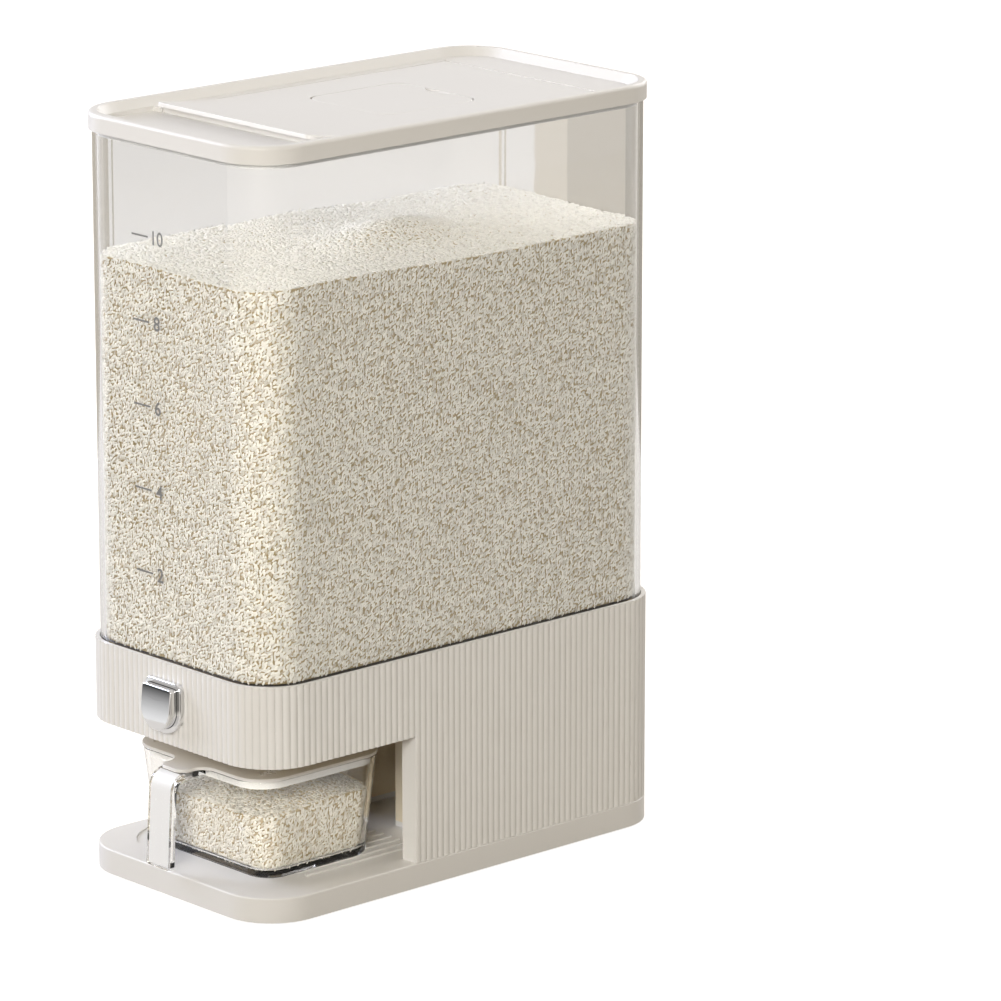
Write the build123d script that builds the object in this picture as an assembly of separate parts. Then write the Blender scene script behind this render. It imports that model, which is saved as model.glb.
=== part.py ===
"""Countertop rice dispenser: clear hopper on a reeded housing, push button, slide shutter and cup."""

import math
import os

from build123d import *

# Driving dimensions, in millimetres. +Z is up, the button and the cup handle face -Y,
# and the origin is on the counter under the middle of the housing.

# Housing: the reeded band, the rear column and the base share one rounded outline.
body_width = 172.4
body_length = 315.9
corner_radius = 33.0
base_height = 15.5
bay_height = 76.7
band_height = 48.3
bay_depth = 114.2
return_width = 12.2
pocket_depth = 41.0
niche_width = 43.0
niche_depth = 48.0
cut_overrun = 1.0

# Reeded shell.
reed_pitch = 4.42
reed_height = 0.7
shell_wall = 2.0
shell_gap = 0.15

# Inner frame and bay liner.
frame_wall = 2.2
deck_recess = 0.8
frame_post_radius = 4.8
frame_post_height = 45.0
guide_rib_width = 2.0
guide_gap = 0.3

# Base tray, its closing plate, pads and screws.
tray_top = 4.0
base_edge = 1.0
tray_wall = 2.6
recess_depth = 1.5
recess_front_margin = 17.0
recess_radius = 36.0
floor_rib_pitch = 7.2
floor_rib_width = 1.6
floor_rib_front = 60.0
floor_rib_back = 16.5
floor_rib_side_room = 12.0
plate_thickness = 2.0
plate_gap = 0.2
pad_radius = 9.0
pad_proud = 0.8
pad_seat = 1.0
pad_inset_x = 24.0
pad_inset_y = 26.0
screw_radius = 1.5
screw_clearance = 0.05
screw_head_radius = 2.8
screw_head_height = 1.4
screw_bite = 16.0
screw_x = 58.0
screw_front_y = 62.0
screw_back_inset = 52.0

# Funnel, its seal and the throat with two slots.
hopper_engagement = 6.5
seal_thickness = 1.0
flange_thickness = 2.0
funnel_wall = 2.2
mouth_side_inset = 8.2
mouth_front_inset = 16.0
mouth_back_inset = 10.0
mouth_radius = 24.0
throat_width = 60.0
throat_radius = 3.0
throat_margin = 2.5
slot_width = 9.0
slot_length = 56.0
slot_lap = 1.0
outlet_setback = 69.0
spring_rib_width = 12.0
spring_rib_thickness = 3.0
spring_rib_setback = 38.0

# Slide shutter with its upright web, and the return spring.
shutter_thickness = 2.4
shutter_gap = 0.3
shutter_margin = 3.0
tongue_width = 18.0
web_thickness = 3.0
web_width = 16.0
web_headroom = 4.6
web_gap = 0.6
spring_wire = 0.9
spring_diameter = 6.4
spring_turns = 7
spring_end_gap = 0.2
spring_lift = 1.0
nub_radius = 2.1
nub_length = 3.0

# Push button and bezel: a flat top over a round bottom.
button_width = 26.0
button_height = 25.6
button_corner = 2.0
button_proud = 9.3
button_depth = 11.5
button_wall = 1.6
button_edge = 0.8
crown_radius = 150.0
crown_foot = 2.0
button_gap = 0.3
button_drop = 12.5
boss_radius = 4.5
bezel_rim = 3.0
bezel_proud = 3.3
bezel_sleeve = 1.5
bezel_edge = 0.9
bezel_fit = 0.2
button_screw_radius = 1.3
button_screw_length = 9.0

# Clear hopper.
hopper_height = 299.5
hopper_wall = 3.0
hopper_step = 3.2
hopper_rim_rise = 2.2

# Lid frame.
lid_step = 1.2
lid_height = 10.5
lid_skirt_gap = 0.3
lid_edge = 2.2
lid_deck_drop = 5.1
rim_width = 5.0
cove_width = 4.0
plug_gap = 0.6
plug_wall = 2.2
plug_depth = 3.0
fill_side_inset = 28.2
fill_front_inset = 69.95
fill_back_inset = 53.95
fill_radius = 14.0

# Flap with its raised front lip, hinge, seal and plug wall.
flap_side_inset = 18.2
flap_front_inset = 53.35
hinge_inset = 40.95
flap_thickness = 2.4
flap_gap = 0.4
flap_rest_gap = 0.3
lip_rise = 4.6
lip_run = 54.6
lip_corner = 5.0
flap_edge = 0.6
sill_setback = 6.0
barrel_radius = 2.2
barrel_gap = 0.35
pin_radius = 1.2
pin_gap = 0.05
pin_in_flap = 8.0
pin_in_frame = 5.0
flap_plug_wall = 2.0
flap_plug_depth = 7.0
flap_plug_gap = 2.2
flap_seal_thickness = 1.3
flap_seal_height = 3.0
flap_seal_drop = 2.0

# Desiccant compartment in the flap.
cover_side_inset = 32.0
cover_shift = 8.4
cover_radius = 11.0
cover_hole_radius = 9.0
cover_gap = 0.3
cover_rest_gap = 0.15
cover_edge = 0.5
notch_width = 24.0
notch_depth = 5.0
basket_flange = 4.0
basket_flange_thickness = 1.6
basket_ledge = 3.0
basket_wall = 1.6
basket_depth = 14.0
vent_count = 9
vent_width = 2.0
vent_length_share = 0.78
vent_field_share = 0.8

# Measuring cup with handle and inlay.
cup_rim_width = 117.0
cup_rim_length = 100.0
cup_bottom_width = 109.0
cup_bottom_length = 84.0
cup_rim_radius = 20.0
cup_bottom_radius = 16.0
cup_height = 60.3
cup_wall = 2.4
cup_floor = 4.0
cup_rim_edge = 0.7
cup_foot_edge = 3.0
cup_inner_edge = 4.0
cup_rest_gap = 0.2
handle_width = 21.0
handle_thickness = 3.4
handle_reach = 24.0
handle_lean = 3.2
handle_bend = 11.0
handle_foot_height = 4.0
handle_root = 1.2
handle_corner = 3.0
inlay_depth = 0.9
inlay_border = 1.7
inlay_gap = 0.05

# Strainer lid on the cup.
strainer_thickness = 1.8
strainer_edge = 0.5
strainer_rest_gap = 0.2
strainer_overhang = 0.6
strainer_plug_wall = 1.6
strainer_plug_depth = 5.0
strainer_plug_gap = 0.8
tab_root_width = 21.0
tab_reach = 17.0
tab_corner = 6.0
tab_blend = 9.0
panel_depth = 0.6
panel_margin = 7.0
panel_waist = 13.0
panel_corner = 5.0
drain_count = 20
drain_pitch = 3.9
drain_width = 1.8
drain_edge = 5.0
drain_short = 4.0
drain_long = 11.5

# Levels and places that follow from them.
base_top = base_height
bay_top = base_top + bay_height
band_top = bay_top + band_height
front_y = -body_length / 2
back_y = body_length / 2
column_y = front_y + bay_depth
pocket_y = column_y + pocket_depth
niche_y = pocket_y + niche_depth
bay_half = body_width / 2 - return_width

shell_inset = reed_height + shell_wall
frame_inset = shell_inset + shell_gap
frame_face = front_y + frame_inset + frame_wall
deck_bottom = bay_top + deck_recess
deck_top = deck_bottom + frame_wall
shutter_bottom = deck_top + shutter_gap
shutter_top = shutter_bottom + shutter_thickness
throat_bottom = shutter_top + shutter_gap
throat_top = throat_bottom + funnel_wall
hopper_bottom = band_top - hopper_engagement
flange_top = hopper_bottom - seal_thickness
frame_top = flange_top - flange_thickness

slot_pitch = 2 * (slot_width + slot_lap)
stroke = slot_width + slot_lap
outlet_y = front_y + outlet_setback
slot_places = (outlet_y - slot_pitch / 2, outlet_y + slot_pitch / 2)
throat_length = slot_pitch + slot_width + 2 * throat_margin

hopper_width = body_width - 2 * hopper_step
hopper_length = body_length - 2 * hopper_step
hopper_radius = corner_radius - hopper_step
lid_bottom = band_top + hopper_height
hopper_top = lid_bottom + hopper_rim_rise
lid_width = body_width - 2 * lid_step
lid_length = body_length - 2 * lid_step
lid_radius = corner_radius - lid_step
lid_top = lid_bottom + lid_height
lid_deck = lid_top - lid_deck_drop
fill_width = body_width - 2 * fill_side_inset
fill_front = body_length / 2 - fill_front_inset
fill_back = body_length / 2 - fill_back_inset
flap_width = body_width - 2 * flap_side_inset
flap_front = body_length / 2 - flap_front_inset
hinge_y = back_y - hinge_inset
cover_size = flap_width - 2 * cover_side_inset
cover_y = (fill_back - fill_front) / 2 + cover_shift
flap_bottom = lid_deck - flap_thickness
lid_ledge = flap_bottom - flap_rest_gap
hinge_z = lid_deck - barrel_radius
lip_bow = (lip_run ** 2 + lip_rise ** 2) / (2 * lip_rise)
sweep_y = lip_run - flap_front

button_top = band_top - button_drop
button_centre = button_top - button_height + button_width / 2
button_face = front_y - button_proud
crown_z = button_top - button_height + crown_foot
crown_drop = crown_radius - math.sqrt(crown_radius ** 2 - (button_top - crown_z) ** 2)
web_y = frame_face + web_gap
spring_y = front_y + spring_rib_setback
spring_z = shutter_top + spring_lift + spring_diameter / 2 + spring_wire / 2

cup_y = outlet_y
cup_bottom = base_top + cup_rest_gap
cup_rim = cup_bottom + cup_height
strainer_bottom = cup_rim + strainer_rest_gap
strainer_top = strainer_bottom + strainer_thickness


def slab(width, length, radius, low, high, y=0):
    """Upright block with a rounded rectangular outline."""
    return extrude(Pos(0, y, low) * RectangleRounded(width, length, radius), high - low)


def inset_slab(inset, low, high):
    """Block on the housing's outline, drawn in by the inset."""
    return slab(body_width - 2 * inset, body_length - 2 * inset, corner_radius - inset, low, high)


def box(x0, x1, y0, y1, z0, z1):
    """Block between two corners."""
    middle = Pos((x0 + x1) / 2, (y0 + y1) / 2, (z0 + z1) / 2)
    return middle * Box(x1 - x0, y1 - y0, z1 - z0)


def rod(x, y, z, radius, height):
    """Upright cylinder standing on a point."""
    return Pos(x, y, z) * extrude(Circle(radius), height)


def rod_y(x, z, y0, y1, radius):
    """Cylinder along Y, from the front y0 to the back y1."""
    return Pos(x, y1, z) * Rot(90, 0, 0) * extrude(Circle(radius), y1 - y0)


def taper(width_low, length_low, radius_low, low, width_high, length_high, radius_high, high,
          y_low=0, y_high=0):
    """Ruled block between two rounded rectangles."""
    bottom = Pos(0, y_low, low) * RectangleRounded(width_low, length_low, radius_low)
    top = Pos(0, y_high, high) * RectangleRounded(width_high, length_high, radius_high)
    return loft([bottom, top], ruled=True)


def reed_outline():
    """Closed outline of convex reeds, one shallow arc each, round the housing."""
    width = body_width - 2 * reed_height
    length = body_length - 2 * reed_height
    radius = corner_radius - reed_height
    run_x = width / 2 - radius
    run_y = length / 2 - radius
    front = Line((0, -length / 2), (run_x, -length / 2))
    corner_a = JernArc(front @ 1, front % 1, radius, 90)
    right = Line(corner_a @ 1, (width / 2, run_y))
    corner_b = JernArc(right @ 1, right % 1, radius, 90)
    back = Line(corner_b @ 1, (-run_x, length / 2))
    corner_c = JernArc(back @ 1, back % 1, radius, 90)
    left = Line(corner_c @ 1, (-width / 2, -run_y))
    corner_d = JernArc(left @ 1, left % 1, radius, 90)
    close = Line(corner_d @ 1, (0, -length / 2))
    edges = [front, corner_a, right, corner_b, back, corner_c, left, corner_d, close]
    total = sum(edge.length for edge in edges)
    count = 2 * round(total / reed_pitch / 2)

    def on_path(distance):
        """Point and outward direction at a distance along the valley line."""
        for edge in edges:
            if distance <= edge.length:
                break
            distance -= edge.length
        share = min(distance / edge.length, 1)
        along = edge % share
        return edge @ share, Vector(along.Y, -along.X)

    reeds = []
    for index in range(count):
        start, _ = on_path(total * index / count)
        middle, outward = on_path(total * (index + 1 / 2) / count)
        end, _ = on_path(total * ((index + 1) % count) / count)
        reeds.append(ThreePointArc(start, middle + outward * reed_height, end))
    return make_face(reeds)


def bay_space(setback=0, grow=0):
    """Open space of the cup bay: front, pocket between the returns, and rear niche."""
    low = base_top - cut_overrun
    high = bay_top + grow
    wide = body_width
    front = box(-wide, wide, front_y - wide, column_y + setback + grow, low, high)
    pocket_half = bay_half + grow
    pocket = box(-pocket_half, pocket_half, column_y, pocket_y + grow, low, high)
    niche_half = niche_width / 2 + grow
    niche = box(-niche_half, niche_half, column_y, niche_y + grow, low, high)
    return front + pocket + niche


def button_profile(grow=0):
    """Flat-topped, round-bottomed outline in X and Z."""
    half = button_width / 2 + grow
    top = button_top + grow
    sides = [
        Line((-half, button_centre), (-half, top)),
        Line((-half, top), (half, top)),
        Line((half, top), (half, button_centre)),
        ThreePointArc((half, button_centre), (0, button_centre - half), (-half, button_centre)),
    ]
    face = make_face(sides)
    corners = face.vertices().sort_by(Axis.Y)[-2:]
    return fillet(corners, button_corner + grow)


def button_prism(grow, y0, y1):
    """Button outline carried along Y, from the front y0 to the back y1."""
    return Pos(0, y1, 0) * Rot(90, 0, 0) * extrude(button_profile(grow), y1 - y0)


def screw_places():
    """Plan positions of the four screws that join base and frame."""
    rows = (pocket_y + screw_front_y, back_y - screw_back_inset)
    return [(side * screw_x, row) for row in rows for side in (-1, 1)]


def pad_places():
    """Plan positions of the rubber pads: the four corners and the middle."""
    x = body_width / 2 - pad_inset_x
    y = body_length / 2 - pad_inset_y
    return [(0, 0), (x, y), (-x, y), (x, -y), (-x, -y)]


def base_tray():
    """Flat base with the cup recess, flush slide ribs and screw posts below."""
    tray = inset_slab(0, pad_proud, base_top)
    tray = fillet(tray.faces().sort_by(Axis.Z)[-1].edges(), base_edge)
    tray -= inset_slab(tray_wall, pad_proud - cut_overrun, base_top - tray_top)
    recess_front = front_y + recess_front_margin
    recess_floor = base_top - recess_depth
    recess = slab(2 * bay_half, 2 * (pocket_y - recess_front), recess_radius, recess_floor,
                  base_top + cut_overrun, pocket_y)
    tray -= recess & bay_space()
    rib_reach = bay_half - floor_rib_side_room
    per_side = math.floor(rib_reach / floor_rib_pitch)
    for step in range(-per_side, per_side + 1):
        x = step * floor_rib_pitch
        tray += box(x - floor_rib_width / 2, x + floor_rib_width / 2, column_y - floor_rib_front,
                    pocket_y - floor_rib_back, recess_floor, base_top)
    for x, y in screw_places():
        low = pad_proud + plate_thickness
        tray += rod(x, y, low, frame_post_radius, base_top - tray_top - low)
        tray -= rod(x, y, low - cut_overrun, screw_radius + screw_clearance, base_height)
    return tray


def base_plate():
    """Closing plate under the base, with pad seats and screw holes."""
    inset = tray_wall + plate_gap
    plate = inset_slab(inset, pad_proud, pad_proud + plate_thickness)
    for x, y in pad_places():
        plate -= rod(x, y, pad_proud - cut_overrun, pad_radius + plate_gap, pad_seat + cut_overrun)
    for x, y in screw_places():
        plate -= rod(x, y, 0, screw_radius + screw_clearance, base_height)
        plate -= rod(x, y, 0, screw_head_radius + plate_gap, pad_proud + screw_head_height)
    return plate


def rubber_pads():
    """Round pads that the dispenser stands on."""
    return [rod(x, y, 0, pad_radius, pad_proud + pad_seat) for x, y in pad_places()]


def base_screws():
    """Screws from under the base into the posts of the frame."""
    screws = []
    for x, y in screw_places():
        head = rod(x, y, pad_proud, screw_head_radius, screw_head_height)
        low = pad_proud + screw_head_height
        screws.append(head + rod(x, y, low, screw_radius, base_top + screw_bite - low))
    return screws


def housing_block():
    """Space behind the reeds, up to the funnel's flange, with the cup bay cut out."""
    setback = shell_wall + shell_gap
    block = inset_slab(frame_inset, base_top, frame_top) - bay_space(setback)
    return block - box(-body_width, body_width, front_y, column_y + setback, base_top, deck_bottom)


def inner_frame():
    """Plain-walled frame behind the reeds: walls of the band and the column, floor and screw posts."""
    frame = housing_block()
    frame -= inset_slab(frame_inset + frame_wall, base_top + frame_wall, frame_top + cut_overrun)
    frame -= button_prism(bezel_sleeve + button_gap + bezel_fit, front_y, web_y)
    for x, y in screw_places():
        frame += rod(x, y, base_top, frame_post_radius, frame_post_height)
        frame -= rod(x, y, base_top - cut_overrun, screw_radius + screw_clearance,
                     screw_bite + 2 * cut_overrun)
    return frame


def bay_liner():
    """Lining of the cup bay: deck with the outlet and the shutter's guides, and walls of pocket and niche."""
    setback = shell_wall + shell_gap
    inside = inset_slab(frame_inset + frame_wall, base_top + frame_wall, deck_top)
    behind = inside - bay_space(setback, frame_wall)
    behind -= box(-body_width, body_width, front_y, column_y + setback + frame_wall, 0, deck_top)
    liner = (housing_block() & inside) - behind
    spout_length = throat_length - throat_margin
    liner -= slab(slot_length + slot_lap, spout_length, throat_radius, bay_top - cut_overrun,
                  deck_top + cut_overrun, outlet_y)
    guide_x = throat_width / 2 + throat_margin + guide_gap
    for side in (-1, 1):
        ends = sorted((side * guide_x, side * (guide_x + guide_rib_width)))
        liner += box(*ends, outlet_y - throat_length, outlet_y + throat_length, deck_top, shutter_top)
    return liner


def fluted_shell():
    """Outer skin of convex reeds, with smooth returns beside the cup bay."""
    shell = Pos(0, 0, base_top) * extrude(reed_outline(), band_top - base_top)
    shell -= inset_slab(shell_inset, base_top - cut_overrun, band_top + cut_overrun)
    shell -= box(-body_width, body_width, front_y - cut_overrun, column_y, base_top - cut_overrun, bay_top)
    reach = body_width / 2 - reed_height
    for side in (-1, 1):
        ends = sorted((side * bay_half, side * (reach - shell_wall / 2)))
        shell += box(*ends, column_y, column_y + shell_wall, base_top, bay_top)
    shell -= button_prism(bezel_sleeve + button_gap + bezel_fit, front_y - cut_overrun, web_y)
    return shell


def funnel():
    """Sloping floor under the rice, with a flange, a two-slot throat and the spring rib."""
    flange = inset_slab(frame_inset, frame_top, flange_top)
    mouth_front = front_y + mouth_front_inset
    mouth_back = back_y - mouth_back_inset
    mouth_width = body_width - 2 * mouth_side_inset
    mouth_y = (mouth_front + mouth_back) / 2
    mouth_length = mouth_back - mouth_front
    thick = 2 * funnel_wall
    bowl = taper(throat_width + thick, throat_length + thick, throat_radius + funnel_wall, throat_bottom,
                 mouth_width + thick, mouth_length + thick, mouth_radius + funnel_wall, frame_top,
                 outlet_y, mouth_y)
    inside = taper(throat_width, throat_length, throat_radius, throat_top,
                   mouth_width, mouth_length, mouth_radius, flange_top, outlet_y, mouth_y)
    inside += slab(mouth_width, mouth_length, mouth_radius, flange_top, flange_top + cut_overrun, mouth_y)
    half = spring_rib_width / 2
    rib = box(-half, half, spring_y, spring_y + spring_rib_thickness, throat_bottom, frame_top)
    rib += rod_y(0, spring_z, spring_y - nub_length, spring_y, nub_radius)
    piece = flange + bowl + rib - inside
    for y in slot_places:
        piece -= box(-slot_length / 2, slot_length / 2, y - slot_width / 2, y + slot_width / 2,
                     throat_bottom - cut_overrun, throat_top + cut_overrun)
    return piece


def funnel_seal():
    """Flat gasket between the funnel's flange and the hopper's lower edge."""
    inner_width = hopper_width - 2 * hopper_wall
    inner_length = hopper_length - 2 * hopper_wall
    ring = slab(hopper_width, hopper_length, hopper_radius, flange_top, hopper_bottom)
    return ring - slab(inner_width, inner_length, hopper_radius - hopper_wall, flange_top - cut_overrun,
                       hopper_bottom + cut_overrun)


def hopper():
    """Clear rounded tube that holds the rice."""
    inner_width = hopper_width - 2 * hopper_wall
    inner_length = hopper_length - 2 * hopper_wall
    tube = slab(hopper_width, hopper_length, hopper_radius, hopper_bottom, hopper_top)
    return tube - slab(inner_width, inner_length, hopper_radius - hopper_wall, hopper_bottom - cut_overrun,
                       hopper_top + cut_overrun)


def shutter():
    """Slide plate with two windows, a tongue to the front and the web that the button pushes."""
    half = throat_width / 2 + throat_margin
    plate_front = slot_places[0] - stroke - slot_width / 2 - shutter_margin
    plate_back = slot_places[1] + slot_width / 2 + slot_lap
    piece = box(-half, half, plate_front, plate_back, shutter_bottom, shutter_top)
    piece += box(-tongue_width / 2, tongue_width / 2, web_y, plate_front, shutter_bottom, shutter_top)
    web_top = button_centre + web_headroom
    piece += box(-web_width / 2, web_width / 2, web_y, web_y + web_thickness, shutter_bottom, web_top)
    web_back = web_y + web_thickness
    piece += rod_y(0, spring_z, web_back, web_back + nub_length, nub_radius)
    for y in slot_places:
        window = y - stroke
        piece -= box(-slot_length / 2, slot_length / 2, window - slot_width / 2, window + slot_width / 2,
                     shutter_bottom - cut_overrun, shutter_top + cut_overrun)
    hole = button_screw_radius + screw_clearance
    return piece - rod_y(0, button_centre, web_y - cut_overrun, web_back + cut_overrun, hole)


def return_spring():
    """Compression spring behind the web: half-turn arcs, joined into one unbroken wire."""
    front = web_y + web_thickness + spring_end_gap + spring_wire / 2
    length = spring_y - spring_end_gap - spring_wire / 2 - front
    radius = spring_diameter / 2
    climb = length / spring_turns

    def on_helix(turn):
        """Point of the wire's centre line after a number of turns."""
        angle = 2 * math.pi * turn
        return Vector(radius * math.cos(angle), front + climb * turn, spring_z + radius * math.sin(angle))

    halves = []
    for index in range(2 * spring_turns):
        turns = [(index + step) / 2 for step in (0, 1 / 2, 1)]
        halves.append(ThreePointArc(*[on_helix(turn) for turn in turns]))
    wire = Wire(halves)
    start = Plane(origin=wire @ 0, z_dir=wire % 0)
    print("spring coil gap", round(climb - spring_wire, 2), "mm")
    return sweep(start * Circle(spring_wire / 2), path=wire)


def push_button():
    """Plated hollow cap with a crowned face and a central boss that meets the web."""
    back = button_face + button_depth
    cap = button_prism(0, button_face, back)
    crown = Rot(0, 90, 0) * extrude(Circle(crown_radius), button_width, both=True)
    cap &= Pos(0, button_face + crown_radius, crown_z) * crown
    rim = cap.faces().sort_by(Axis.Y)[0].edges()
    cap = fillet(rim, button_edge)
    cap -= button_prism(-button_wall, button_face + button_wall + crown_drop, back + cut_overrun)
    cap += rod_y(0, button_centre, button_face + button_wall / 2, web_y, boss_radius)
    hole = button_screw_radius + screw_clearance
    reach = button_screw_length - web_thickness + screw_clearance
    return cap - rod_y(0, button_centre, web_y - reach, web_y + cut_overrun, hole)


def button_screw():
    """Screw through the web into the button's boss."""
    seat = web_y + web_thickness
    shank = rod_y(0, button_centre, seat - button_screw_length, seat, button_screw_radius)
    return shank + rod_y(0, button_centre, seat, seat + screw_head_height, 2 * button_screw_radius)


def button_bezel():
    """Plated surround with a sleeve through the front wall."""
    ring = button_prism(bezel_rim, front_y - bezel_proud, front_y)
    edge = ring.faces().sort_by(Axis.Y)[0].edges()
    ring = fillet(edge, bezel_edge)
    ring += button_prism(bezel_sleeve + button_gap, front_y, frame_face)
    return ring - button_prism(button_gap, front_y - bezel_proud - cut_overrun, web_y)


def lid_outline(inset, low, high):
    """Block on the lid's outline, drawn in by the inset."""
    return slab(lid_width - 2 * inset, lid_length - 2 * inset, lid_radius - inset, low, high)


def fill_space(inset, low, high):
    """Block in the fill opening, drawn in by the inset."""
    middle = (fill_back - fill_front) / 2
    return slab(fill_width - 2 * inset, fill_front + fill_back - 2 * inset, fill_radius - inset, low, high,
                middle)


def flap_sill():
    """Raised sill that follows the underside of the flap's sweep, up to the finger room behind the lip."""
    half = flap_width / 2
    block = box(-half, half, sill_setback - flap_front, sweep_y, lid_ledge, lid_top)
    sweep_radius = lip_bow + flap_thickness + flap_rest_gap
    above = Rot(0, 90, 0) * extrude(Circle(sweep_radius), flap_width, both=True)
    return block - Pos(0, sweep_y, lid_deck + lip_bow) * above


def lid_frame():
    """Lid with a rounded rim, a sunk deck, the flap's seat and a plug inside the hopper."""
    frame = lid_outline(0, lid_bottom, lid_top)
    frame = fillet(frame.faces().sort_by(Axis.Z)[-1].edges(), lid_edge)
    foot = rim_width + cove_width
    frame -= taper(lid_width - 2 * foot, lid_length - 2 * foot, lid_radius - foot, lid_deck,
                   lid_width - 2 * rim_width, lid_length - 2 * rim_width, lid_radius - rim_width, lid_top)
    plug_outer = hopper_step - lid_step + hopper_wall + plug_gap
    frame += lid_outline(plug_outer, lid_bottom - plug_depth, lid_bottom)
    frame -= lid_outline(plug_outer + plug_wall, lid_bottom - plug_depth - cut_overrun, lid_bottom)
    channel = lid_outline(hopper_step - lid_step - lid_skirt_gap, lid_bottom - plug_depth - cut_overrun,
                          hopper_top + seal_thickness)
    channel -= lid_outline(plug_outer, lid_bottom - plug_depth - cut_overrun, lid_top)
    frame -= channel
    half = flap_width / 2 + flap_gap
    pocket_back = hinge_y + barrel_radius + barrel_gap
    lip_line = flap_front - lip_corner
    frame -= box(-half, half, -lip_line, pocket_back, lid_ledge, lid_top)
    front_recess = lid_outline(foot, lid_ledge, lid_deck + cut_overrun)
    frame -= front_recess & box(-lid_width, lid_width, -lid_length, -lip_line, lid_ledge, lid_top)
    frame += flap_sill()
    frame -= fill_space(0, lid_bottom - plug_depth, lid_top)
    trough = Rot(0, 90, 0) * extrude(Circle(barrel_radius + barrel_gap), half, both=True)
    frame -= Pos(0, hinge_y, hinge_z) * trough
    pin_hole = Rot(0, 90, 0) * extrude(Circle(pin_radius + pin_gap), half + pin_in_frame, both=True)
    return frame - Pos(0, hinge_y, hinge_z) * pin_hole


def lid_seal():
    """Flat gasket between the lid and the hopper's upper edge."""
    outer = hopper_step - lid_step
    ring = lid_outline(outer, hopper_top, hopper_top + seal_thickness)
    return ring - lid_outline(outer + hopper_wall, hopper_top - cut_overrun, lid_top)


def hinge_pins():
    """Short pins that carry the flap at both ends of its barrel."""
    length = pin_in_flap + flap_gap + pin_in_frame
    start = flap_width / 2 - pin_in_flap
    pin = Rot(0, 90, 0) * extrude(Circle(pin_radius), length)
    return [Pos(x, hinge_y, hinge_z) * pin for x in (start, -start - length)]


def lid_flap():
    """Fill flap: flat panel that sweeps up to a front lip, with a hinge barrel and a plug wall."""
    lip_angle = math.degrees(math.asin(lip_run / lip_bow))
    top_flat = Line((hinge_y, lid_deck), (sweep_y, lid_deck))
    top_bow = JernArc(top_flat @ 1, top_flat % 1, lip_bow, -lip_angle)
    low_flat = Line((sweep_y, flap_bottom), (hinge_y, flap_bottom))
    low_bow = JernArc(low_flat @ 0, Vector(-1, 0), lip_bow + flap_thickness, -lip_angle)
    tip = Line(top_bow @ 1, low_bow @ 1)
    tail = Line(low_flat @ 1, (hinge_y, lid_deck))
    profile = make_face([top_flat, top_bow, tip, low_bow, low_flat, tail])
    panel = extrude(Plane.YZ * profile, flap_width / 2, both=True)
    lip_corners = panel.edges().filter_by(lambda e: e.bounding_box().max.Y < -flap_front + flap_thickness)
    upright = lip_corners.filter_by(lambda e: e.bounding_box().size.X < flap_gap)
    panel = fillet(upright, lip_corner)
    top = panel.faces().filter_by(lambda f: f.normal_at().Z > 1 / 2)
    rim = top.edges().filter_by(lambda e: e.bounding_box().size.Y > flap_gap or e.center().Y < sweep_y)
    rim = rim.filter_by(lambda e: abs(e.center().X) > flap_gap or e.center().Y < -lip_run)
    panel = fillet(rim, flap_edge)
    barrel = Rot(0, 90, 0) * extrude(Circle(barrel_radius), flap_width / 2, both=True)
    panel += Pos(0, hinge_y, hinge_z) * barrel
    wall = fill_space(flap_plug_gap, flap_bottom - flap_plug_depth, flap_bottom + flap_thickness / 2)
    wall -= fill_space(flap_plug_gap + flap_plug_wall, lid_bottom - flap_plug_depth, flap_bottom)
    panel += wall
    hole = cover_size + 2 * cover_gap
    panel -= slab(hole, hole, cover_hole_radius, flap_bottom - cut_overrun, lid_top, cover_y)
    start = flap_width / 2 - pin_in_flap - pin_gap
    for x in (start, -start - pin_in_flap - cut_overrun):
        bore = Rot(0, 90, 0) * extrude(Circle(pin_radius + pin_gap), pin_in_flap + cut_overrun)
        panel -= Pos(x, hinge_y, hinge_z) * bore
    return panel


def flap_seal():
    """Soft band round the flap's plug wall."""
    high = flap_bottom - flap_seal_drop
    low = high - flap_seal_height
    band = fill_space(flap_plug_gap - flap_seal_thickness, low, high)
    return band - fill_space(flap_plug_gap, low - cut_overrun, high + cut_overrun)


def desiccant_basket():
    """Vented basket under the flap that holds a drying sachet."""
    outer = cover_size + 2 * cover_gap + 2 * basket_flange
    inner = cover_size - 2 * basket_ledge
    wall = inner + 2 * basket_wall
    flange_low = flap_bottom - basket_flange_thickness
    floor = flap_bottom - basket_depth
    radius = cover_radius - basket_ledge
    piece = slab(outer, outer, cover_radius + basket_flange, flange_low, flap_bottom, cover_y)
    piece += slab(wall, wall, radius + basket_wall, floor, flap_bottom, cover_y)
    piece -= slab(inner, inner, radius, floor + basket_wall, flap_bottom + cut_overrun, cover_y)
    field = inner * vent_field_share
    half = inner * vent_length_share / 2
    for index in range(vent_count):
        x = field * (index / (vent_count - 1) - 1 / 2)
        piece -= box(x - vent_width / 2, x + vent_width / 2, cover_y - half, cover_y + half,
                     floor - cut_overrun, floor + basket_wall + cut_overrun)
    return piece


def desiccant_cover():
    """Square cover, flush with the flap, with a finger notch in its rear edge."""
    low = flap_bottom + cover_rest_gap
    cover = slab(cover_size, cover_size, cover_radius, low, lid_deck, cover_y)
    cover = fillet(cover.faces().sort_by(Axis.Z)[-1].edges(), cover_edge)
    edge_y = cover_y + cover_size / 2
    notch_radius = ((notch_width / 2) ** 2 + notch_depth ** 2) / (2 * notch_depth)
    return cover - rod(0, edge_y - notch_depth + notch_radius, low - cut_overrun, notch_radius, lid_top - low)


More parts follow.
